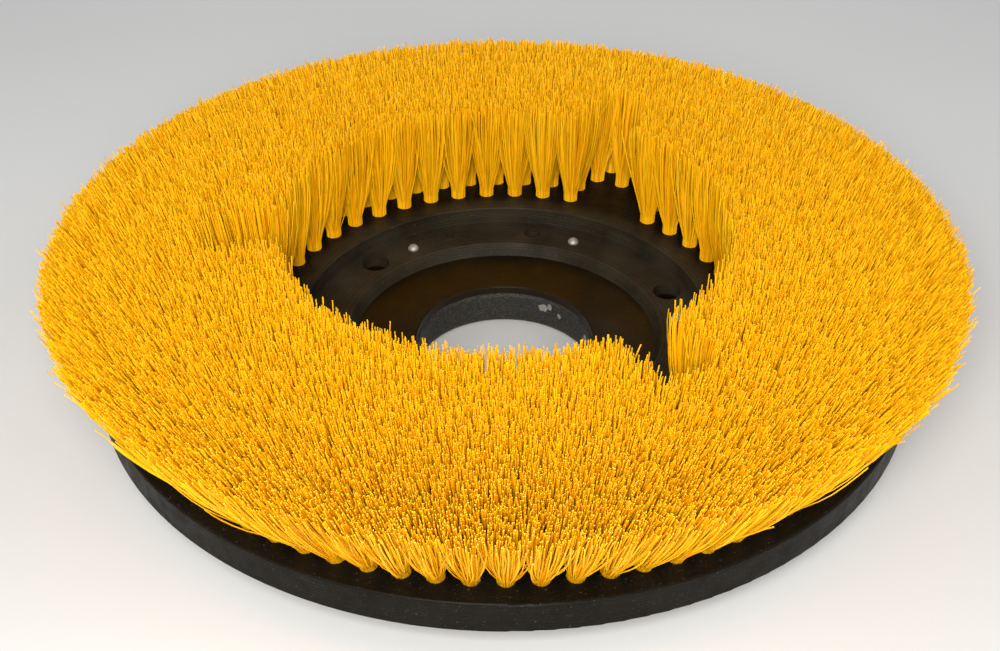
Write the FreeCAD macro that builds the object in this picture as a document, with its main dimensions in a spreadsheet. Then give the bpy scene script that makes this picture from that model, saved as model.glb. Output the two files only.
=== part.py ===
import FreeCAD
import Part
import Sketcher
import os
from FreeCAD import Placement, Rotation, Vector

# Rotary disc brush, millimetres, lying on its hub with the bristles up.
# +Z is the axis of turning, towards the bristle tips. The origin is the centre of the
# hub's bottom face. Azimuths are in degrees from +X towards +Y.

SIZES = {
    # block
    "block_radius": 165.0,
    "block_thickness": 12.9,
    "rim_round": 0.8,
    "edge_break": 0.4,
    "counterbore_radius": 83.9,
    "web_thickness": 5.3,
    "web_hole_low_radius": 63.0,
    "web_hole_high_radius": 65.2,
    # drive plate and hub
    "plate_thickness": 3.2,
    "plate_bore_radius": 37.2,
    "flange_radius": 92.0,
    "flange_thickness": 4.6,
    "hub_height": 15.6,
    "hub_bore_radius": 36.6,
    "collar_radius": 50.0,
    "lip_top_round": 2.4,
    "lip_bottom_round": 3.6,
    "casting_round": 1.5,
    "rib_width": 6.0,
    "rib_root_radius": 47.0,
    "rib_foot_height": 2.7,
    "rib_reach": 84.0,
    "rib_end_depth": 1.0,
    "rib_azimuth": 42.0,
    # holes through web, plate and flange
    "screw_circle": 146.0,
    "screw_azimuth": 4.4,
    "pin_circle": 150.0,
    "pin_radius": 6.0,
    "pin_azimuth": 20.0,
    "bolt_radius": 3.65,
    "bolt_azimuth": 80.0,
    "pilot_circle": 152.0,
    "pilot_radius": 1.8,
    "pilot_azimuth": 109.0,
    # hub screws and their lock washers
    "screw_radius": 2.4,
    "screw_clearance": 0.3,
    "screw_stand_out": 2.3,
    "screw_dome_height": 1.6,
    "screw_head_radius": 4.6,
    "screw_head_height": 3.2,
    "screw_head_round": 1.5,
    "recess_width": 1.2,
    "recess_length": 5.4,
    "recess_depth": 1.7,
    "washer_radius": 4.5,
    "washer_thickness": 1.2,
    "washer_gap": 14.0,
    # tufts and their anchors
    "inner_row_radius": 97.8,
    "row_pitch": 11.2,
    "first_lean": 0.6,
    "lean_step": 5.1,
    "tuft_radius": 3.35,
    "hole_depth": 9.4,
    "tuft_neck": 2.2,
    "trim_length": 46.5,
    "tip_radius": 6.1,
    "anchor_thickness": 0.5,
    "anchor_width": 2.4,
    "anchor_height": 1.2,
    "anchor_clearance": 0.1,
}

# Each ring of tufts leans outwards by lean_step degrees more than the one inside it.
ROW_COUNTS = [46, 52, 60, 68, 76, 84]  # tuft places in each ring, inner ring first
ROW_PHASES = [0.97, 1.8, 2.1, 2.97, 0.0, 0.0]  # azimuth of one place of each ring

NOTCH_AZIMUTHS = [60.0, 185.0, 302.0]
NOTCHED_ROWS = 2  # the inner rings that the notches cut
NOTCH_HALF_WIDTH = 8.0  # degrees

HUB_SCREWS = 6
PINS = 3  # drive pin holes, and as many bolt holes and pilot holes
RIBS = 6

FLANGE_LOW = "sizes.hub_height - sizes.flange_thickness"
BLOCK_LOW = "sizes.hub_height + sizes.plate_thickness"
WEB_HIGH = BLOCK_LOW + " + sizes.web_thickness"
BLOCK_HIGH = BLOCK_LOW + " + sizes.block_thickness"
HEAD_HIGH = FLANGE_LOW + " - sizes.washer_thickness"

doc = FreeCAD.newDocument("disc_brush")


def make_sheet():
    sheet = doc.addObject("Spreadsheet::Sheet", "sizes")
    for line, (alias, value) in enumerate(SIZES.items(), start=1):
        sheet.set(f"A{line}", alias)
        sheet.set(f"B{line}", str(value))
        sheet.setAlias(f"B{line}", alias)
    doc.recompute()
    return sheet


sizes = make_sheet()


def number(expression):
    """The value now of an expression on the sheet."""
    return float(sizes.evalExpression(expression.replace("sizes.", "")))


# ---------------------------------------------------------------- sketch helpers


def new_body(label):
    body = doc.addObject("PartDesign::Body", label)
    body.Label = label
    body.AllowCompound = True  # fasteners and tufts are groups of separate solids
    return body


def origin_of(body, role):
    return next(f for f in body.Origin.OriginFeatures if f.Role == role)


def new_sketch(body, name, plane="XY_Plane", offset=None):
    sketch = body.newObject("Sketcher::SketchObject", name)
    sketch.AttachmentSupport = [(origin_of(body, plane), "")]
    sketch.MapMode = "FlatFace"
    if offset:
        sketch.AttachmentOffset = offset
    return sketch


def bind(sketch, kind, edge, point, expression):
    """Holds a point of an edge at a distance from the sketch's origin."""
    if expression == "0":
        axis = -2 if kind == "DistanceX" else -1
        sketch.addConstraint(Sketcher.Constraint("PointOnObject", edge, point, axis))
        return
    value = number(expression)
    made = sketch.addConstraint(Sketcher.Constraint(kind, -1, 1, edge, point, value))
    sketch.setExpression(f"Constraints[{made}]", expression)


def arc_about(centre_x, start, end):
    """The arc from start to end, anticlockwise, whose centre has a known x."""
    reach_start, reach_end = (start.x - centre_x) ** 2, (end.x - centre_x) ** 2
    rise = reach_end + end.y**2 - reach_start - start.y**2
    centre = Vector(centre_x, rise / (2 * (end.y - start.y)), 0)
    radius = centre.distanceToPoint(start)
    middle = (start + end) / 2 - centre
    return Part.Arc(start, centre + middle * (radius / middle.Length), end)


def draw_outline(sketch, corners):
    """A closed outline, drawn anticlockwise, through corners given as expressions.

    A corner is (x, y). One more expression makes the edge that starts there an arc
    with its centre at that x.
    """
    at = [Vector(number(x), number(y), 0) for x, y, *_ in corners]
    for start, end, (_, _, *centre_x) in zip(at, at[1:] + at[:1], corners):
        edge = arc_about(number(centre_x[0]), start, end) if centre_x else None
        sketch.addGeometry(edge or Part.LineSegment(start, end), False)
    for edge in range(len(at)):
        following = (edge + 1) % len(at)
        sketch.addConstraint(Sketcher.Constraint("Coincident", edge, 2, following, 1))
    for edge, (x, y, *centre_x) in enumerate(corners):
        bind(sketch, "DistanceX", edge, 1, x)
        bind(sketch, "DistanceY", edge, 1, y)
        if centre_x:
            bind(sketch, "DistanceX", edge, 3, centre_x[0])


def revolve(body, sketch, name):
    """A full turn of a sketch about its own vertical axis."""
    made = body.newObject("PartDesign::Revolution", name)
    made.Profile = sketch
    made.ReferenceAxis = (sketch, ["V_Axis"])
    return made


def polar(body, name, originals, count, extent=360.0):
    """Repeats features about Z. Under a full turn, the last one lies at extent."""
    pattern = body.newObject("PartDesign::PolarPattern", name)
    pattern.Originals = originals
    pattern.Axis = (origin_of(body, "Z_Axis"), [""])
    pattern.Angle = extent
    pattern.Occurrences = count
    body.Tip = pattern
    return pattern


def drill_ring(body, name, count, radius, circle, azimuth):
    """Through holes on a circle about Z. All sizes are expressions."""
    turn = Placement(Vector(), Rotation(Vector(0, 0, 1), number(azimuth)))
    sketch = new_sketch(body, name + "_sketch", offset=turn)
    sketch.setExpression("AttachmentOffset.Rotation.Angle", azimuth)
    centre = Vector(number(circle) / 2, 0, 0)
    sketch.addGeometry(Part.Circle(centre, Vector(0, 0, 1), number(radius)), False)
    bind(sketch, "DistanceX", 0, 3, f"{circle} / 2")
    bind(sketch, "DistanceY", 0, 3, "0")
    size = sketch.addConstraint(Sketcher.Constraint("Radius", 0, number(radius)))
    sketch.setExpression(f"Constraints[{size}]", radius)
    hole = body.newObject("PartDesign::Pocket", name)
    hole.Profile = sketch
    hole.Type = "Length"
    hole.Reversed = True  # up, from the XY plane into the solid
    hole.setExpression("Length", BLOCK_HIGH)
    return polar(body, name + "s", [hole], count)


def ring_edges(shape, radius, height):
    """Names of the circular edges about Z of a radius at a height."""
    names = []
    for place, edge in enumerate(shape.Edges, start=1):
        curve = edge.Curve
        if not isinstance(curve, Part.Circle) or abs(curve.Radius - radius) > 0.01:
            continue
        if abs(curve.Center.z - height) < 0.01 and curve.Center.x**2 < 0.01:
            names.append(f"Edge{place}")
    return names


def round_ring(body, name, radius, height, size):
    """A fillet on the round edge of a radius at a height."""
    doc.recompute()
    base = body.Tip
    edges = ring_edges(base.Shape, number(radius), number(height))
    fillet = body.newObject("PartDesign::Fillet", name)
    fillet.Base = (base, edges)
    fillet.setExpression("Radius", size)


# ---------------------------------------------------------------- block, plate, hub


def make_block_blank():
    """The block with its bores, before the tuft holes."""
    body = new_body("block_blank")
    sketch = new_sketch(body, "block_profile", "XZ_Plane")
    before_rim = "sizes.block_radius - sizes.rim_round"
    draw_outline(sketch, [
        ("sizes.web_hole_low_radius", BLOCK_LOW),
        (before_rim, BLOCK_LOW, before_rim),
        ("sizes.block_radius", BLOCK_LOW + " + sizes.rim_round"),
        ("sizes.block_radius", BLOCK_HIGH + " - sizes.rim_round", before_rim),
        (before_rim, BLOCK_HIGH),
        ("sizes.counterbore_radius + sizes.edge_break", BLOCK_HIGH),
        ("sizes.counterbore_radius", BLOCK_HIGH + " - sizes.edge_break"),
        ("sizes.counterbore_radius", WEB_HIGH),
        ("sizes.web_hole_high_radius + sizes.edge_break", WEB_HIGH),
        ("sizes.web_hole_high_radius", WEB_HIGH + " - sizes.edge_break"),
    ])
    revolve(body, sketch, "block_turning")
    drill_ring(body, "screw_hole", HUB_SCREWS, "sizes.screw_radius",
               "sizes.screw_circle", "sizes.screw_azimuth")
    drill_through_holes(body)
    drill_ring(body, "pilot_hole", PINS, "sizes.pilot_radius",
               "sizes.pilot_circle", "sizes.pilot_azimuth")
    return body


def drill_through_holes(body):
    """The drive pin holes and bolt holes, which block, plate and hub share."""
    drill_ring(body, "pin_hole", PINS, "sizes.pin_radius",
               "sizes.pin_circle", "sizes.pin_azimuth")
    drill_ring(body, "bolt_hole", PINS, "sizes.bolt_radius",
               "sizes.pin_circle", "sizes.bolt_azimuth")


def drill_clearance_holes(body):
    drill_ring(body, "clearance_hole", HUB_SCREWS,
               "sizes.screw_radius + sizes.screw_clearance",
               "sizes.screw_circle", "sizes.screw_azimuth")


def make_drive_plate():
    body = new_body("drive_plate")
    sketch = new_sketch(body, "plate_profile", "XZ_Plane")
    draw_outline(sketch, [
        ("sizes.plate_bore_radius", "sizes.hub_height"),
        ("sizes.flange_radius", "sizes.hub_height"),
        ("sizes.flange_radius", BLOCK_LOW),
        ("sizes.plate_bore_radius + sizes.edge_break", BLOCK_LOW),
        ("sizes.plate_bore_radius", BLOCK_LOW + " - sizes.edge_break"),
    ])
    revolve(body, sketch, "plate_turning")
    drill_clearance_holes(body)
    drill_through_holes(body)
    return body


def make_cast_hub():
    """A flange and a collar with six ribs, and a bore with rounded lips."""
    body = new_body("cast_hub")
    sketch = new_sketch(body, "hub_profile", "XZ_Plane")
    before_foot = "sizes.collar_radius - sizes.casting_round"
    before_edge = "sizes.flange_radius - sizes.casting_round"
    draw_outline(sketch, [
        ("sizes.hub_bore_radius", "0"),
        (before_foot, "0", before_foot),
        ("sizes.collar_radius", "sizes.casting_round"),
        ("sizes.collar_radius", FLANGE_LOW),
        (before_edge, FLANGE_LOW, before_edge),
        ("sizes.flange_radius", FLANGE_LOW + " + sizes.casting_round"),
        ("sizes.flange_radius", "sizes.hub_height"),
        ("sizes.hub_bore_radius", "sizes.hub_height"),
    ])
    revolve(body, sketch, "hub_turning")
    round_ring(body, "collar_root", "sizes.collar_radius", FLANGE_LOW,
               "sizes.casting_round")
    add_ribs(body)
    drill_clearance_holes(body)
    drill_through_holes(body)
    round_ring(body, "top_lip", "sizes.hub_bore_radius", "sizes.hub_height",
               "sizes.lip_top_round")
    round_ring(body, "bottom_lip", "sizes.hub_bore_radius", "0",
               "sizes.lip_bottom_round")
    return body


def add_ribs(body):
    """Webs that slope from the foot of the collar up to the flange."""
    turn = Placement(Vector(), Rotation(Vector(0, 1, 0), number("sizes.rib_azimuth")))
    sketch = new_sketch(body, "rib_profile", "XZ_Plane", turn)
    sketch.setExpression("AttachmentOffset.Rotation.Angle", "sizes.rib_azimuth")
    middle_of_flange = "sizes.hub_height - sizes.flange_thickness / 2"
    draw_outline(sketch, [
        ("sizes.rib_root_radius", "sizes.rib_foot_height"),
        ("sizes.collar_radius", "sizes.rib_foot_height"),
        ("sizes.rib_reach", FLANGE_LOW + " - sizes.rib_end_depth"),
        ("sizes.rib_reach", middle_of_flange),
        ("sizes.rib_root_radius", middle_of_flange),
    ])
    rib = body.newObject("PartDesign::Pad", "rib")
    rib.Profile = sketch
    rib.Type = "Length"
    rib.Midplane = True
    rib.setExpression("Length", "sizes.rib_width")
    polar(body, "ribs", [rib], RIBS)


# ---------------------------------------------------------------- fasteners


def make_hub_screws():
    """Round-ended screws, driven up from the machine side into the web."""
    body = new_body("hub_screws")
    place = Placement(Vector(number("sizes.screw_circle / 2"), 0, 0), Rotation())
    sketch = new_sketch(body, "screw_profile", "XZ_Plane", place)
    sketch.setExpression("AttachmentOffset.Base.x", "sizes.screw_circle / 2")
    head_low = HEAD_HIGH + " - sizes.screw_head_height"
    end = WEB_HIGH + " + sizes.screw_stand_out"
    flat_of_head = "sizes.screw_head_radius - sizes.screw_head_round"
    draw_outline(sketch, [
        ("0", head_low),
        (flat_of_head, head_low, flat_of_head),
        ("sizes.screw_head_radius", head_low + " + sizes.screw_head_round"),
        ("sizes.screw_head_radius", HEAD_HIGH),
        ("sizes.screw_radius", HEAD_HIGH),
        ("sizes.screw_radius", end + " - sizes.screw_dome_height", "0"),
        ("0", end),
    ])
    shank = revolve(body, sketch, "screw_turning")
    recess = cut_cross_recess(body, head_low)
    body.Placement = Placement(
        Vector(), Rotation(Vector(0, 0, 1), number("sizes.screw_azimuth"))
    )
    body.setExpression("Placement.Rotation.Angle", "sizes.screw_azimuth")
    polar(body, "screws", [shank, *recess], HUB_SCREWS)
    return body


def cut_cross_recess(body, head_low):
    """Two crossed slots in the screw's head."""
    slots = []
    for name, along, across in (
        ("slot_one", "recess_length", "recess_width"),
        ("slot_two", "recess_width", "recess_length"),
    ):
        middle = Vector(number("sizes.screw_circle / 2"), 0, number(head_low))
        sketch = new_sketch(body, name + "_sketch", offset=Placement(middle, Rotation()))
        sketch.setExpression("AttachmentOffset.Base.x", "sizes.screw_circle / 2")
        sketch.setExpression("AttachmentOffset.Base.z", head_low)
        draw_rectangle(sketch, "sizes." + along, "sizes." + across)
        slot = body.newObject("PartDesign::Pocket", name)
        slot.Profile = sketch
        slot.Type = "Length"
        slot.Reversed = True  # up into the head
        slot.setExpression("Length", "sizes.recess_depth")
        slots.append(slot)
    return slots


def draw_rectangle(sketch, width, height):
    """A rectangle about the sketch's origin."""
    half_x, half_y = number(width) / 2, number(height) / 2
    at = [Vector(x * half_x, y * half_y, 0) for x, y in ((-1, -1), (1, -1), (1, 1), (-1, 1))]
    for start, end in zip(at, at[1:] + at[:1]):
        sketch.addGeometry(Part.LineSegment(start, end), False)
    for edge in range(4):
        sketch.addConstraint(Sketcher.Constraint("Coincident", edge, 2, (edge + 1) % 4, 1))
    for edge in (0, 2):
        sketch.addConstraint(Sketcher.Constraint("Horizontal", edge))
    for edge in (1, 3):
        sketch.addConstraint(Sketcher.Constraint("Vertical", edge))
    sketch.addConstraint(Sketcher.Constraint("Symmetric", 0, 1, 1, 2, -1, 1))
    for edge, kind, size in ((0, "DistanceX", width), (1, "DistanceY", height)):
        made = sketch.addConstraint(Sketcher.Constraint(kind, edge, 1, edge, 2, number(size)))
        sketch.setExpression(f"Constraints[{made}]", size)


def make_lock_washers():
    """Split rings between the screw heads and the hub's flange."""
    body = new_body("lock_washers")
    place = Placement(Vector(number("sizes.screw_circle / 2"), 0, 0), Rotation())
    sketch = new_sketch(body, "washer_profile", "XZ_Plane", place)
    sketch.setExpression("AttachmentOffset.Base.x", "sizes.screw_circle / 2")
    inner = "sizes.screw_radius + sizes.screw_clearance"
    draw_outline(sketch, [
        (inner, HEAD_HIGH),
        ("sizes.washer_radius", HEAD_HIGH),
        ("sizes.washer_radius", FLANGE_LOW),
        (inner, FLANGE_LOW),
    ])
    ring = revolve(body, sketch, "washer_turning")
    ring.setExpression("Angle", "360 - sizes.washer_gap")
    body.Placement = Placement(
        Vector(), Rotation(Vector(0, 0, 1), number("sizes.screw_azimuth"))
    )
    body.setExpression("Placement.Rotation.Angle", "sizes.screw_azimuth")
    polar(body, "washers", [ring], HUB_SCREWS)
    return body


# ---------------------------------------------------------------- tufts


def in_notch(azimuth):
    """Whether a place lies in one of the notches."""
    return any(
        abs((azimuth - notch + 180) % 360 - 180) < NOTCH_HALF_WIDTH
        for notch in NOTCH_AZIMUTHS
    )


def runs_of(row):
    """(name, first azimuth, tufts, extent) of each unbroken run of a ring."""
    count = ROW_COUNTS[row]
    pitch = 360.0 / count
    if row >= NOTCHED_ROWS:
        return [(f"row_{row + 1}", ROW_PHASES[row], count, 360.0)]
    azimuths = [ROW_PHASES[row] + pitch * place for place in range(count)]
    next_notches = NOTCH_AZIMUTHS[1:] + NOTCH_AZIMUTHS[:1]
    runs = []
    for arc, (notch, next_notch) in enumerate(zip(NOTCH_AZIMUTHS, next_notches), start=1):
        after = sorted((a - notch) % 360 for a in azimuths if not in_notch(a))
        inside = [a for a in after if a < (next_notch - notch) % 360]
        name = f"row_{row + 1}_arc_{arc}"
        runs.append((name, notch + inside[0], len(inside), inside[-1] - inside[0]))
    return runs


def tuft_sketch(body, name, row):
    """A sketch whose origin is the middle of a tuft hole's bottom, along its axis."""
    lean = f"(sizes.first_lean + sizes.lean_step * {row})"
    radius = f"sizes.inner_row_radius + sizes.row_pitch * {row}"
    turn = Placement(Vector(), Rotation(Vector(0, 0, -1), number(lean)))
    sketch = new_sketch(body, name, "XZ_Plane", turn)
    offset = {
        "Rotation.Angle": lean,
        "Base.x": f"{radius} - sizes.hole_depth * sin({lean})",
        "Base.y": f"{BLOCK_HIGH} - sizes.hole_depth * cos({lean})",
    }
    for field, expression in offset.items():
        sketch.setExpression("AttachmentOffset." + field, expression)
    return sketch


def repeat_run(body, name, originals, run):
    """Repeats a run's first piece and turns the body to the run's first azimuth."""
    _, azimuth, count, extent = run
    polar(body, name, originals, count, extent)
    body.Placement = Placement(Vector(), Rotation(Vector(0, 0, 1), azimuth))


def make_tufts(row, run):
    """Filament bundles as plain flared solids, each with a slot for its anchor."""
    body = new_body("tufts_" + run[0])
    sketch = tuft_sketch(body, "tuft_profile", row)
    top = "sizes.hole_depth + sizes.trim_length"
    draw_outline(sketch, [
        ("0", "0"),
        ("sizes.tuft_radius", "0"),
        ("sizes.tuft_radius", "sizes.hole_depth + sizes.tuft_neck"),
        ("sizes.tip_radius", top),
        ("0", top),
    ])
    tuft = revolve(body, sketch, "tuft")
    slot = body.newObject("PartDesign::Pocket", "anchor_slot")
    slot.Profile = anchor_sketch(body, row)
    slot.Type = "Length"
    slot.Midplane = True
    slot.setExpression("Length", "sizes.tuft_radius * 3")
    repeat_run(body, "tufts", [tuft, slot], run)
    return body


def anchor_sketch(body, row):
    """An anchor's end, seen along its length."""
    sketch = tuft_sketch(body, "anchor_profile", row)
    half, low = "sizes.anchor_thickness / 2", "sizes.anchor_height"
    high = low + " + sizes.anchor_width"
    draw_outline(sketch, [
        (f"0 - {half}", low),
        (half, low),
        (half, high),
        (f"0 - {half}", high),
    ])
    return sketch


def make_anchors(row, run):
    """Flat wires, one across the bottom of each tuft hole."""
    body = new_body("anchors_" + run[0])
    wire = body.newObject("PartDesign::Pad", "anchor")
    wire.Profile = anchor_sketch(body, row)
    wire.Type = "Length"
    wire.Midplane = True
    wire.setExpression("Length", "sizes.tuft_radius * 2 - sizes.anchor_clearance")
    repeat_run(body, "anchors", [wire], run)
    return body


def make_hole_tools(row, run):
    """The cylinders that a run's tuft holes are cut with."""
    body = new_body("hole_tools_" + run[0])
    sketch = tuft_sketch(body, "hole_profile", row)
    draw_outline(sketch, [
        ("0", "0"),
        ("sizes.tuft_radius", "0"),
        ("sizes.tuft_radius", "sizes.hole_depth + sizes.tuft_neck"),
        ("0", "sizes.hole_depth + sizes.tuft_neck"),
    ])
    tool = revolve(body, sketch, "tool")
    repeat_run(body, "tools", [tool], run)
    return body


def make_block(blank, tools):
    """The blank less all its tuft holes."""
    joined = doc.addObject("Part::Compound", "all_hole_tools")
    joined.Links = tools
    block = doc.addObject("Part::Cut", "block")
    block.Base = blank
    block.Tool = joined
    block.Label = "block"
    return block


# ---------------------------------------------------------------- check and write


def check_objects():
    """Stops at any object that failed, which a recompute doesn't raise."""
    for item in doc.Objects:
        if {"Invalid", "Error"} & set(item.State):
            raise RuntimeError(f"{item.Label} failed: {item.State}")


def write(node, solids):
    """Writes one sub-part after checking its shape and its number of solids."""
    shape = node.Shape
    if shape.isNull() or not shape.isValid():
        raise RuntimeError(f"{node.Label} has no valid shape")
    if len(shape.Solids) != solids:
        raise RuntimeError(f"{node.Label} has {len(shape.Solids)} solids, not {solids}")
    shape.exportStep(os.path.join("parts", node.Label + ".step"))
    print(f"{node.Label}: {solids} solids, {shape.Volume:.0f} mm3")


def main():
    nodes = [
        (make_drive_plate(), 1),
        (make_cast_hub(), 1),
        (make_hub_screws(), HUB_SCREWS),
        (make_lock_washers(), HUB_SCREWS),
    ]
    tools = []
    for row in range(len(ROW_COUNTS)):
        for run in runs_of(row):
            nodes.append((make_tufts(row, run), run[2]))
            nodes.append((make_anchors(row, run), run[2]))
            tools.append(make_hole_tools(row, run))
    nodes.append((make_block(make_block_blank(), tools), 1))
    doc.recompute()
    check_objects()
    os.makedirs("parts", exist_ok=True)
    for node, solids in nodes:
        write(node, solids)


main()
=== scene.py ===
import math

import bpy
import numpy as np
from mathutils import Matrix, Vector


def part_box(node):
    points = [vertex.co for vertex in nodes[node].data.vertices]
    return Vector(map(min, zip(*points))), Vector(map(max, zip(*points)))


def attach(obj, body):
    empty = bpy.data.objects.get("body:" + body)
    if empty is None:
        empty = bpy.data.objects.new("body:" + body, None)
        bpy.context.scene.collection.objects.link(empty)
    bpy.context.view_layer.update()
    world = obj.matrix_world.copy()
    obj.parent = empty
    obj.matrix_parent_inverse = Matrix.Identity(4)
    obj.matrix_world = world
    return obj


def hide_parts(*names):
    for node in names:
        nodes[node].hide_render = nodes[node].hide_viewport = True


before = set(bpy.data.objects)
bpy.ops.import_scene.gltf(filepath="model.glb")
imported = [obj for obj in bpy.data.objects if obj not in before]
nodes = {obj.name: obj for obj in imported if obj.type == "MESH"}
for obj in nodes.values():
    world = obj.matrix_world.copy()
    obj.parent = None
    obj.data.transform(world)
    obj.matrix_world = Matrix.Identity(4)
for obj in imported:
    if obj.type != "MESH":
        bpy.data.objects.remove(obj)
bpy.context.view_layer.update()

# Rotary disc brush, bristles up, in metres in the CAD frame. The block, drive plate,
# cast hub, screws, washers and anchors are the CAD's own. Each tuft of filaments is
# made here along the axis of its CAD solid.

MM = 0.001
SEED = 13

block_low, block_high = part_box("block")
BLOCK_RADIUS = (block_high.x - block_low.x) / 2
BLOCK_TOP = block_high.z


# ---------------------------------------------------------------- filaments

FILAMENTS = 220  # ends per tuft
TUFTS_PER_PIECE = 21

# A filament's section, and the heights of its rings from inside the hole to the cut
# end, as shares of the length above the block.
SIDES = 3
FILAMENT_RADIUS = 0.26 * MM
RADIUS_SCATTER = 0.04  # of the radius
CUT_SCATTER = 0.08 * MM  # how much a cut end is out of square
STEPS = np.array([-0.055, 0.07, 0.2, 0.36, 0.54, 0.72, 0.88, 1.0])

# Where a tuft leaves its hole.
BUNDLE_RADIUS = 3.05 * MM
FOOT_SCATTER = 0.1 * MM
NECK = 0.09  # the share of the length where a tuft is still as narrow as its hole
OPENING = (1.5, 2.4)  # how soon above its neck a filament bends out: 1 is a straight line

# Where its filaments end.
TIP_FILL = 0.54  # half a tuft's spread, as a share of the gap to its neighbours
TIP_SCATTER = 1.5 * MM
TRIM_SCATTER = 0.028  # of the length
SQUARENESS = 0.75  # 0 leaves a tuft's tips in a round patch, and 1 makes the patch square
RIM_FLARE = -2.5 * MM  # how much further filaments fan out on the open side of the rim
NOTCH_FLARE = 1.2 * MM  # and into a notch
FLARE_SCATTER = (0.4, 1.3)  # of the flare
STRAY_SHARE = 0.03  # filaments whose ends bend away from their tuft
STRAY = 3.2 * MM

# Side to side waves along a filament: size, and the fewest and most over its length.
SLOW_WAVE = (0.28 * MM, 0.8, 1.8)
CRIMP = (0.12 * MM, 4.0, 7.0)
WAVE_SCATTER = 0.4  # of the size

GOLDEN_ANGLE = math.pi * (3 - math.sqrt(5))
END_BAND = 0.3 * MM  # points this near to an end of a tuft's solid belong to its end face

MAP_NAME = "OFBake"
MAP_STRIP = 0.012  # how wide a filament's strip is on the map
MAP_WALL = 0.93  # the walls' share of the map's height
MAP_CAP = 0.025  # half the height of the cut ends' band
MAP_GAP = 0.001  # between a filament's rings on the map


def loose_parts(mesh):
    """The points of each separate solid of a mesh."""
    points = np.zeros(len(mesh.vertices) * 3)
    mesh.vertices.foreach_get("co", points)
    points, same = np.unique(np.round(points.reshape(-1, 3), 6), axis=0, return_inverse=True)
    edges = np.zeros(len(mesh.edges) * 2, int)
    mesh.edges.foreach_get("vertices", edges)
    edges = same.reshape(-1)[edges].reshape(-1, 2)
    label = np.arange(len(points))
    while True:
        lowest = label.copy()
        np.minimum.at(lowest, edges[:, 0], label[edges[:, 1]])
        np.minimum.at(lowest, edges[:, 1], label[edges[:, 0]])
        lowest = lowest[lowest]
        if (lowest == label).all():
            break
        label = lowest
    return [points[label == part] for part in np.unique(label)]


def tuft_axis(points):
    """Where a tuft solid's axis leaves the block, and the middle of its top."""
    middle = points.mean(0)
    axis = np.linalg.svd(points - middle, full_matrices=False)[2][0]
    axis = axis * np.sign(axis[2])
    along = (points - middle) @ axis
    low = points[along < along.min() + END_BAND].mean(0)
    high = points[along > along.max() - END_BAND].mean(0)
    axis = (high - low) / np.linalg.norm(high - low)
    base = low + axis * (BLOCK_TOP - low[2]) / axis[2]
    return base, high


def tuft_axes(node):
    """The axes of all the tufts of a CAD node, in order round the brush."""
    axes = [tuft_axis(points) for points in loose_parts(nodes[node].data)]
    middle = sum(base for base, _ in axes)

    def azimuth(pair):
        x, y = pair[0][0], pair[0][1]
        return math.atan2(middle[0] * y - middle[1] * x, middle[0] * x + middle[1] * y)

    return sorted(axes, key=azimuth)


def tuft_paths(base, tip, cell, flare, random):
    """The lines of one tuft's filaments: an array of filament, step, coordinate.

    The cell is the tuft's share of the brush's face at the tips, outwards and round
    the brush. The flare is how much further its filaments spread outwards, forwards
    and backwards round the brush.
    """
    length = np.linalg.norm(tip - base)
    axis = (tip - base) / length
    outward = np.array([base[0], base[1], 0.0])
    outward -= axis * (outward @ axis)
    outward /= np.linalg.norm(outward)
    forward = np.cross(axis, outward)
    place = np.arange(FILAMENTS)
    share = np.sqrt((place + 0.5) / FILAMENTS)
    turn = place * GOLDEN_ANGLE + random.uniform(0, math.tau)
    across = np.stack([np.cos(turn), np.sin(turn)], 1)
    foot = across * share[:, None] * BUNDLE_RADIUS
    foot += random.normal(0, FOOT_SCATTER, (FILAMENTS, 2))

    squarer = np.abs(across).max(1, keepdims=True) ** -SQUARENESS
    end = across * share[:, None] * squarer * np.array(cell) * TIP_FILL
    end += random.normal(0, TIP_SCATTER, (FILAMENTS, 2))
    lean = across * share[:, None] ** 2
    out, ahead, behind = flare
    end[:, 0] += np.clip(lean[:, 0], 0, 1) * out * random.uniform(*FLARE_SCATTER, FILAMENTS)
    pull = np.clip(lean[:, 1], 0, 1) * ahead + np.clip(lean[:, 1], -1, 0) * behind
    end[:, 1] += pull * random.uniform(*FLARE_SCATTER, FILAMENTS)
    stray = random.random((FILAMENTS, 1)) < STRAY_SHARE
    bend = np.where(stray, random.normal(0, STRAY, (FILAMENTS, 2)), 0)

    reach = length * random.normal(1, TRIM_SCATTER, FILAMENTS)
    least = length / 2
    rise = np.sqrt(np.maximum(reach**2 - ((end - foot) ** 2).sum(1), least**2))
    up = np.clip(STEPS, 0, 1)
    past_neck = np.clip((up - NECK) / (1 - NECK), 0, 1)
    spread = 1 - (1 - past_neck[None, :]) ** random.uniform(*OPENING, (FILAMENTS, 1))
    spread = spread[:, :, None]
    flat = foot[:, None, :] * (1 - spread) + end[:, None, :] * spread
    flat = flat + bend[:, None, :] * up[None, :, None] ** 2 + waviness(up, random)
    high = STEPS[None, :, None] * rise[:, None, None]
    return base + flat[:, :, :1] * outward + flat[:, :, 1:] * forward + high * axis


def waviness(up, random):
    """Slow waves along each filament and a quick crimp that grows towards its end."""
    waves = np.zeros((FILAMENTS, len(up), 2))
    for size, low, high in (SLOW_WAVE, CRIMP):
        cycles = random.uniform(low, high, (FILAMENTS, 1, 2))
        phase = random.uniform(0, math.tau, (FILAMENTS, 1, 2))
        grown = size * up[None, :, None] * random.normal(1, WAVE_SCATTER, (FILAMENTS, 1, 2))
        waves += grown * np.sin(math.tau * cycles * up[None, :, None] + phase)
    return waves


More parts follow.
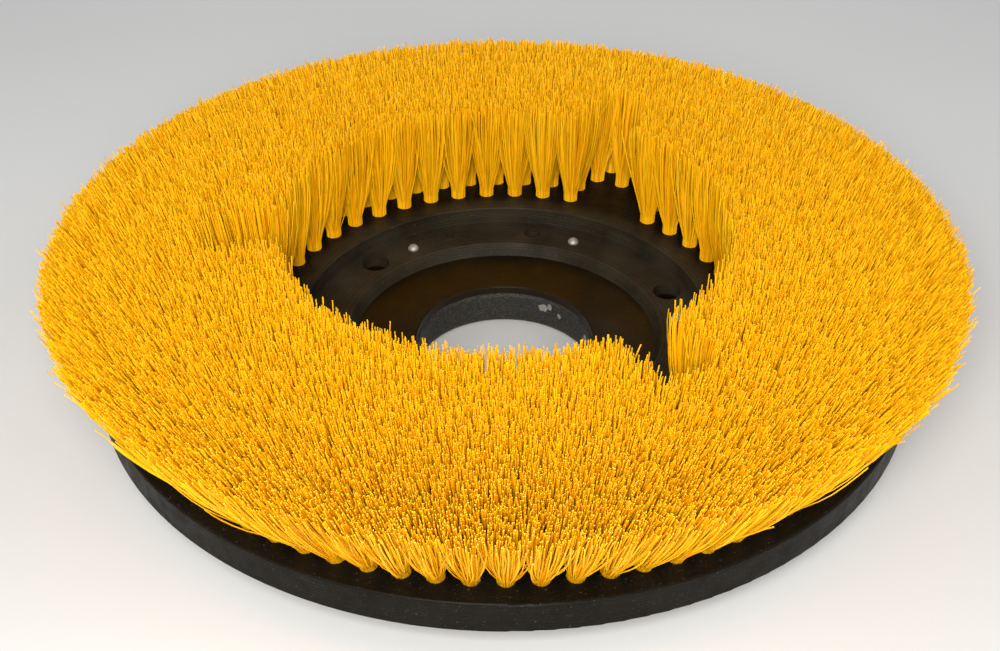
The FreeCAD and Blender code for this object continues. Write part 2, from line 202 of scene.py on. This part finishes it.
def tube_mesh(name, paths, random):
    """One mesh of tubes along paths, closed at their cut ends.

    Each filament has a tone of its own. The map lays the tones side by side, with
    the filament's length up the map and its cut end in a band at the top.
    """
    count, rings, _ = paths.shape
    chord = paths[:, -1] - paths[:, 0]
    chord /= np.linalg.norm(chord, axis=1, keepdims=True)
    side = np.cross(chord, np.array([1.0, 0.0, 0.0]))
    side /= np.linalg.norm(side, axis=1, keepdims=True)
    other = np.cross(chord, side)
    twist = random.uniform(0, math.tau, (count, 1))
    corner = twist + np.arange(SIDES) * math.tau / SIDES
    cos, sin = np.cos(corner)[:, :, None], np.sin(corner)[:, :, None]
    section = cos * side[:, None] + sin * other[:, None]
    radius = FILAMENT_RADIUS * random.normal(1, RADIUS_SCATTER, (count, 1, 1, 1))
    points = paths[:, :, None, :] + radius * section[:, None]
    points[:, -1] += chord[:, None] * random.normal(0, CUT_SCATTER, (count, SIDES, 1))

    ring = np.arange(rings - 1)[:, None] * SIDES
    here = ring + np.arange(SIDES)
    following = ring + (np.arange(SIDES) + 1) % SIDES
    wall = np.stack([here, following, following + SIDES, here + SIDES], -1).ravel()
    corners = np.concatenate([wall, (rings - 1) * SIDES + np.arange(SIDES)])
    corners = corners[None] + np.arange(count)[:, None] * rings * SIDES
    first = np.append(np.arange(0, len(wall), 4), len(wall))
    first = first[None] + np.arange(count)[:, None] * (len(wall) + SIDES)
    is_end = np.tile(np.arange(first.shape[1]) == first.shape[1] - 1, count)

    mesh = bpy.data.meshes.new(name)
    mesh.vertices.add(count * rings * SIDES)
    mesh.vertices.foreach_set("co", points.astype(np.float32).ravel())
    mesh.loops.add(corners.size)
    mesh.loops.foreach_set("vertex_index", corners.ravel().astype(np.int32))
    mesh.polygons.add(first.size)
    mesh.polygons.foreach_set("loop_start", first.ravel().astype(np.int32))
    mesh.polygons.foreach_set("material_index", is_end.astype(np.int32))
    mesh.update(calc_edges=True)
    mesh.shade_flat()
    tone = random.random(count)
    up = np.clip(STEPS, 0, 1)
    for title, values in (
        ("tone", np.repeat(tone, rings * SIDES)),
        ("up", np.tile(np.repeat(up, SIDES), count)),
    ):
        made = mesh.attributes.new(title, "FLOAT", "POINT")
        made.data.foreach_set("value", values.astype(np.float32))
    lay_map(mesh, tone, up)
    return mesh


def lay_map(mesh, tone, up):
    """Texture coordinates: tones across the map, and the filaments' length up it."""
    across = MAP_STRIP * (np.arange(SIDES) / SIDES - 0.5)
    left = np.tile(across, len(up) - 1)
    right = left + MAP_STRIP / SIDES
    low = np.repeat(up[:-1], SIDES) * MAP_WALL
    high = np.repeat(up[1:], SIDES) * MAP_WALL
    low, high = low + MAP_GAP, high + 2 * MAP_GAP
    wall = np.stack([left, low, right, low, right, high, left, high], 1).reshape(-1, 2)
    turn = np.arange(SIDES) * math.tau / SIDES
    middle = (1 + MAP_WALL) / 2
    cap = np.stack([MAP_STRIP / 2 * np.cos(turn), middle + MAP_CAP * np.sin(turn)], 1)
    one = np.concatenate([wall, cap])
    everywhere = np.tile(one, (len(tone), 1, 1))
    everywhere[:, :, 0] += (MAP_STRIP + tone * (1 - 2 * MAP_STRIP))[:, None]
    made = mesh.uv_layers.new(name=MAP_NAME)
    made.data.foreach_set("uv", everywhere.astype(np.float32).ravel())


def flares(node, count, on_rim):
    """How much further each of a node's tufts spreads: out, forwards and backwards."""
    spread = [[RIM_FLARE if on_rim else 0.0, 0.0, 0.0] for _ in range(count)]
    if "_arc_" in node:
        spread[-1][1] = NOTCH_FLARE
        spread[0][2] = NOTCH_FLARE
    return spread


def make_bristles(node, row_pitch, on_rim, materials, random):
    """Replaces a CAD node of tufts with pieces of real filaments."""
    axes = tuft_axes(node)
    steps = [math.dist(a[1], b[1]) for a, b in zip(axes, axes[1:])]
    cell = (row_pitch, sorted(steps)[len(steps) // 2])
    spread = flares(node, len(axes), on_rim)
    parts = math.ceil(len(axes) / TUFTS_PER_PIECE)
    for part in range(parts):
        some = range(len(axes) * part // parts, len(axes) * (part + 1) // parts)
        paths = [tuft_paths(*axes[each], cell, spread[each], random) for each in some]
        name = node.replace("tufts", "filaments") + (f"_arc_{part + 1}" if parts > 1 else "")
        mesh = tube_mesh(name, np.concatenate(paths), random)
        for material in materials:
            mesh.materials.append(material)
        piece = bpy.data.objects.new(name, mesh)
        bpy.context.scene.collection.objects.link(piece)
        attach(piece, "root")
        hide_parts(node)


def tip_radius(node):
    """How far from the axis of turning a row's tips are."""
    tip = tuft_axis(loose_parts(nodes[node].data)[0])[1]
    return math.hypot(tip[0], tip[1])


def make_all_bristles(materials):
    """Filaments in place of every tuft, row by row from the inner row to the rim."""
    random = np.random.default_rng(SEED)
    tuft_nodes = sorted(name for name in nodes if name.startswith("tufts"))
    rim_row = tuft_nodes[-1]
    rows = {name.split("_arc")[0] for name in tuft_nodes}
    row_pitch = (tip_radius(rim_row) - tip_radius(tuft_nodes[0])) / (len(rows) - 1)
    for node in tuft_nodes:
        make_bristles(node, row_pitch, node == rim_row, materials, random)


# ---------------------------------------------------------------- materials

TURNED = (0.088, 0.094)  # radii between which the block's turned marks fade out
BORE_RADIUS = 0.0368
# Paint chips in the bore: azimuth in degrees, height from the hub's bottom and size in mm.
CHIPS = [
    (62.0, 11.0, 2.0),
    (57.0, 12.4, 1.2),
    (49.0, 9.5, 1.0),
    (18.0, 9.0, 1.6),
]
CHIP_RAGGED = 2.6 * MM  # how far noise moves a chip's edge: inwards, by half of it on average
CHIP_MARGIN = 1.3 * MM  # that half


class Surface:
    """A material whose node tree is built around one Principled shader."""

    def __init__(self, name, **sockets):
        self.material = bpy.data.materials.new(name)
        self.material.use_nodes = True
        self.tree = self.material.node_tree
        self.shader = self.tree.nodes["Principled BSDF"]
        for socket, value in sockets.items():
            self.shader.inputs[socket.replace("_", " ")].default_value = value
        self.place = self.tree.nodes.new("ShaderNodeTexCoord").outputs["Object"]

    def put(self, source, socket):
        self.tree.links.new(source, self.shader.inputs[socket])

    def attribute(self, name):
        node = self.tree.nodes.new("ShaderNodeAttribute")
        node.attribute_name = name
        return node.outputs["Fac"]

    def noise(self, scale, detail=3.0, rough=0.5, at=None, dimensions="3D"):
        node = self.tree.nodes.new("ShaderNodeTexNoise")
        node.noise_dimensions = dimensions
        node.inputs["Scale"].default_value = scale
        node.inputs["Detail"].default_value = detail
        node.inputs["Roughness"].default_value = rough
        self.tree.links.new(at or self.place, node.inputs["W" if dimensions == "1D" else "Vector"])
        return node.outputs["Fac"]

    def ramp(self, source, *stops):
        """Values or colours at places from 0 to 1, with straight lines between them."""
        node = self.tree.nodes.new("ShaderNodeValToRGB")
        band = node.color_ramp
        while len(band.elements) < len(stops):
            band.elements.new(0.5)
        for element, (position, colour) in zip(band.elements, stops):
            element.position = position
            grey = isinstance(colour, (int, float))
            element.color = (colour,) * 3 + (1,) if grey else (*colour, 1)
        self.tree.links.new(source, node.inputs["Fac"])
        return node.outputs["Color"]

    def mix(self, share, first, second, kind="MIX"):
        """Colours mixed by a share, each a value or another node's output."""
        node = self.tree.nodes.new("ShaderNodeMix")
        node.data_type = "RGBA"
        node.blend_type = kind
        for socket, value in ((0, share), (6, first), (7, second)):
            if isinstance(value, bpy.types.NodeSocket):
                self.tree.links.new(value, node.inputs[socket])
            elif socket == 0:
                node.inputs[socket].default_value = value
            else:
                grey = isinstance(value, (int, float))
                node.inputs[socket].default_value = (value,) * 3 + (1,) if grey else (*value, 1)
        return node.outputs[2]

    def math(self, kind, first, second):
        node = self.tree.nodes.new("ShaderNodeMath")
        node.operation = kind
        for socket, value in enumerate((first, second)):
            if isinstance(value, bpy.types.NodeSocket):
                self.tree.links.new(value, node.inputs[socket])
            else:
                node.inputs[socket].default_value = value
        return node.outputs[0]

    def distance_to(self, point):
        """How far the surface is from a point of the frame, in metres."""
        node = self.tree.nodes.new("ShaderNodeVectorMath")
        node.operation = "DISTANCE"
        node.inputs[1].default_value = point
        self.tree.links.new(self.place, node.inputs[0])
        return node.outputs["Value"]

    def axis_distance(self):
        """How far the surface is from the axis of turning, in metres."""
        flat = self.tree.nodes.new("ShaderNodeVectorMath")
        flat.operation = "MULTIPLY"
        flat.inputs[1].default_value = (1, 1, 0)
        self.tree.links.new(self.place, flat.inputs[0])
        length = self.tree.nodes.new("ShaderNodeVectorMath")
        length.operation = "LENGTH"
        self.tree.links.new(flat.outputs["Vector"], length.inputs[0])
        return length.outputs["Value"]

    def height(self):
        node = self.tree.nodes.new("ShaderNodeSeparateXYZ")
        self.tree.links.new(self.place, node.inputs[0])
        return node.outputs["Z"]

    def bump(self, *layers):
        """Relief from (source, depth in metres) layers, one on another."""
        under = None
        for source, depth in layers:
            node = self.tree.nodes.new("ShaderNodeBump")
            node.inputs["Distance"].default_value = depth
            self.tree.links.new(source, node.inputs["Height"])
            if under:
                self.tree.links.new(under, node.inputs["Normal"])
            under = node.outputs["Normal"]
        self.put(under, "Normal")


def make_bristle_side():
    """Golden nylon: each filament has its own tone, with painted shade that makes it darker and
    more orange towards its foot, and a little darker at its cut end.
    """
    s = Surface("bristle_nylon", IOR=1.53, Specular_IOR_Level=0.12)
    tone = s.ramp(
        s.attribute("tone"),
        (0.0, (0.95, 0.46, 0.002)),
        (0.3, (0.975, 0.53, 0.003)),
        (0.85, (0.98, 0.57, 0.004)),
        (1.0, (0.985, 0.63, 0.015)),
    )
    # Painted shade: darker and more orange towards a filament's foot, deep in the tuft; a little
    # darker at its cut end.
    depth = s.ramp(
        s.attribute("up"),
        (0.0, (0.97, 0.9, 0.8)),
        (0.6, (1.0, 0.98, 0.95)),
        (1.0, (0.96, 0.95, 0.9)),
    )
    s.put(s.mix(1.0, tone, depth, "MULTIPLY"), "Base Color")
    s.put(s.ramp(s.noise(700, 2), (0.3, 0.5), (0.7, 0.66)), "Roughness")
    s.bump((s.noise(2500, 2), 0.00003))
    return s.material


def make_bristle_end():
    """The cut end of a filament, glossier than its side and paler: partly the cut face's own paler
    colour and partly a painted highlight for its glint.
    """
    s = Surface("bristle_cut_end", IOR=1.53, Specular_IOR_Level=0.25)
    # Paler than the side: partly a painted highlight standing in for the glint of the cut faces.
    tone = s.ramp(s.attribute("tone"), (0.0, (0.98, 0.6, 0.006)), (1.0, (1.0, 0.74, 0.04)))
    s.put(tone, "Base Color")
    s.put(s.ramp(s.noise(1800, 2), (0.35, 0.26), (0.65, 0.5)), "Roughness")
    s.bump((s.noise(4000, 2), 0.00004))
    return s.material


def make_block_plastic():
    """Dark brown-black moulded plastic with dust on it, and turned marks on the web."""
    s = Surface("block_plastic", IOR=1.5, Specular_IOR_Level=0.1)
    radius = s.axis_distance()
    clouds = s.ramp(s.noise(45, 4), (0.35, 0.4), (0.65, 1.0))
    shade = s.mix(clouds, (0.002, 0.0018, 0.001), (0.007, 0.0055, 0.0035))
    rings = s.noise(2600, 2, at=s.math("ADD", radius, s.height()), dimensions="1D")
    turned = s.ramp(radius, (TURNED[0], 1.0), (TURNED[1], 0.0))
    worn = s.math("MULTIPLY", s.ramp(rings, (0.4, 0.2), (0.72, 0.9)), clouds)
    worn = s.math("MULTIPLY", worn, turned)
    shade = s.mix(worn, shade, (0.07, 0.057, 0.034))
    dust = s.ramp(s.noise(1500, 2), (0.68, 0.0), (0.76, 0.8))
    shade = s.mix(dust, shade, (0.13, 0.11, 0.08))
    s.put(shade, "Base Color")
    s.put(s.ramp(s.noise(160, 4), (0.3, 0.38), (0.7, 0.56)), "Roughness")
    s.bump((rings, 0.00012), (s.noise(900, 3), 0.00006))
    return s.material


def make_plate_paint():
    """Smooth dark brown paint with specks of dust."""
    s = Surface("plate_paint", IOR=1.5, Specular_IOR_Level=0.15)
    clouds = s.ramp(s.noise(40, 4), (0.3, 0.0), (0.7, 1.0))
    shade = s.mix(clouds, (0.006, 0.0035, 0.0008), (0.014, 0.008, 0.002))
    specks = s.ramp(s.noise(1300, 2), (0.71, 0.0), (0.77, 0.6))
    s.put(s.mix(specks, shade, (0.14, 0.11, 0.07)), "Base Color")
    s.put(s.ramp(s.noise(120, 4), (0.3, 0.28), (0.7, 0.42)), "Roughness")
    s.bump((s.noise(700, 3), 0.00008))
    return s.material


def make_cast_paint():
    """Black paint over a sand-cast surface, chipped to bare metal in places."""
    s = Surface("cast_paint", IOR=1.5)
    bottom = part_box("cast_hub")[0].z
    grain = s.noise(1100, 3, 0.6)
    shade = s.ramp(
        grain,
        (0.35, (0.006, 0.0055, 0.004)),
        (0.62, (0.03, 0.027, 0.02)),
        (0.75, (0.085, 0.075, 0.058)),
    )
    bare = None
    for azimuth, height, size in CHIPS:
        angle = math.radians(azimuth)
        x, y = BORE_RADIUS * math.cos(angle), BORE_RADIUS * math.sin(angle)
        ragged = s.math("MULTIPLY", s.noise(420, 3), CHIP_RAGGED)
        away = s.math("ADD", s.distance_to((x, y, bottom + height * MM)), ragged)
        here = s.math("LESS_THAN", away, size * MM + CHIP_MARGIN)
        bare = here if bare is None else s.math("MAXIMUM", bare, here)
    s.put(s.mix(bare, shade, (0.55, 0.52, 0.48)), "Base Color")
    s.put(bare, "Metallic")
    s.put(s.mix(bare, s.ramp(grain, (0.3, 0.62), (0.7, 0.46)), 0.34), "Roughness")
    s.bump((grain, 0.0007), (s.noise(300, 3), 0.0006))
    return s.material


def make_zinc():
    """Zinc-plated steel, dulled with age."""
    s = Surface("zinc_steel", Metallic=0.6)
    s.put(s.ramp(s.noise(600, 3), (0.3, (0.3, 0.28, 0.24)), (0.7, (0.46, 0.44, 0.4))), "Base Color")
    s.put(s.ramp(s.noise(900, 2), (0.3, 0.5), (0.7, 0.62)), "Roughness")
    s.bump((s.noise(1500, 2), 0.00005))
    return s.material


def make_floor_paper():
    """Plain pale grey paper."""
    s = Surface("floor_paper", Roughness=0.9)
    s.put(s.ramp(s.noise(3, 3), (0.3, (0.7, 0.7, 0.69)), (0.7, (0.74, 0.74, 0.73))), "Base Color")
    return s.material


def paint_nodes(node_materials, metal):
    """Gives every CAD node that stays in view its material."""
    for name, node in nodes.items():
        if name.startswith("tufts"):
            continue
        for slot in node.material_slots:
            slot.material = node_materials.get(name, metal)


# ---------------------------------------------------------------- stage

FLOOR_HALF = 3.0
WORLD_COLOUR = (0.9, 0.92, 0.95, 1)
WORLD_STRENGTH = 0.38
# Soft boxes that look at the brush: name, place, size, power in watts and tint.
WARM = (1.0, 0.98, 0.94)
WHITE = (1.0, 1.0, 1.0)
SOFT_BOXES = [
    ("front_box", (-0.04, -0.6, 0.46), 0.25, 6.0, WARM),
    ("right_box", (1.2, -0.1, 0.9), 1.0, 3.0, WHITE),
    ("left_box", (-1.2, 0.1, 0.9), 1.0, 3.0, WHITE),
    ("back_box", (0.1, 1.4, 0.45), 0.8, 3.0, WHITE),
]

CAMERA_ELEVATION = math.radians(35.3)
CAMERA_DISTANCE = 3.596  # in block radii, from the point that it looks at
LOOK_AT = (-0.0117, 0.0458)  # in block radii, on the plane of the block's underside
LENS = 50.2  # in mm, on a sensor 36 mm wide


def make_floor():
    mesh = bpy.data.meshes.new("floor")
    signs = ((-1, -1), (1, -1), (1, 1), (-1, 1))
    corners = [(x * FLOOR_HALF, y * FLOOR_HALF, 0) for x, y in signs]
    mesh.from_pydata(corners, [], [(0, 1, 2, 3)])
    mesh.materials.append(make_floor_paper())
    floor = bpy.data.objects.new("floor", mesh)
    bpy.context.scene.collection.objects.link(floor)


def aim(thing, target):
    """Turns a light or a camera to look at a point."""
    thing.rotation_euler = (Vector(target) - thing.location).to_track_quat("-Z", "Y").to_euler()


def make_lights():
    for name, place, size, power, tint in SOFT_BOXES:
        lamp = bpy.data.lights.new(name, "AREA")
        lamp.size = size
        lamp.energy = power
        lamp.color = tint
        light = bpy.data.objects.new(name, lamp)
        light.location = place
        bpy.context.scene.collection.objects.link(light)
        aim(light, (0, 0, BLOCK_TOP))
    world = bpy.data.worlds.new("world")
    world.use_nodes = True
    background = world.node_tree.nodes["Background"]
    background.inputs["Color"].default_value = WORLD_COLOUR
    background.inputs["Strength"].default_value = WORLD_STRENGTH
    bpy.context.scene.world = world


def make_camera():
    camera = bpy.data.objects.new("camera", bpy.data.cameras.new("camera"))
    camera.data.sensor_width = 36
    camera.data.lens = LENS
    target = Vector((LOOK_AT[0] * BLOCK_RADIUS, LOOK_AT[1] * BLOCK_RADIUS, block_low.z))
    back = Vector((0, -math.cos(CAMERA_ELEVATION), math.sin(CAMERA_ELEVATION)))
    camera.location = target + back * CAMERA_DISTANCE * BLOCK_RADIUS
    aim(camera, target)
    camera.data.clip_start = 0.01
    bpy.context.scene.collection.objects.link(camera)
    bpy.context.scene.camera = camera


# ---------------------------------------------------------------- build

bristle_materials = [make_bristle_side(), make_bristle_end()]
node_materials = {
    "block": make_block_plastic(),
    "drive_plate": make_plate_paint(),
    "cast_hub": make_cast_paint(),
}
paint_nodes(node_materials, make_zinc())
make_all_bristles(bristle_materials)
make_floor()
make_lights()
make_camera()
bpy.context.scene.view_settings.view_transform = "Standard"
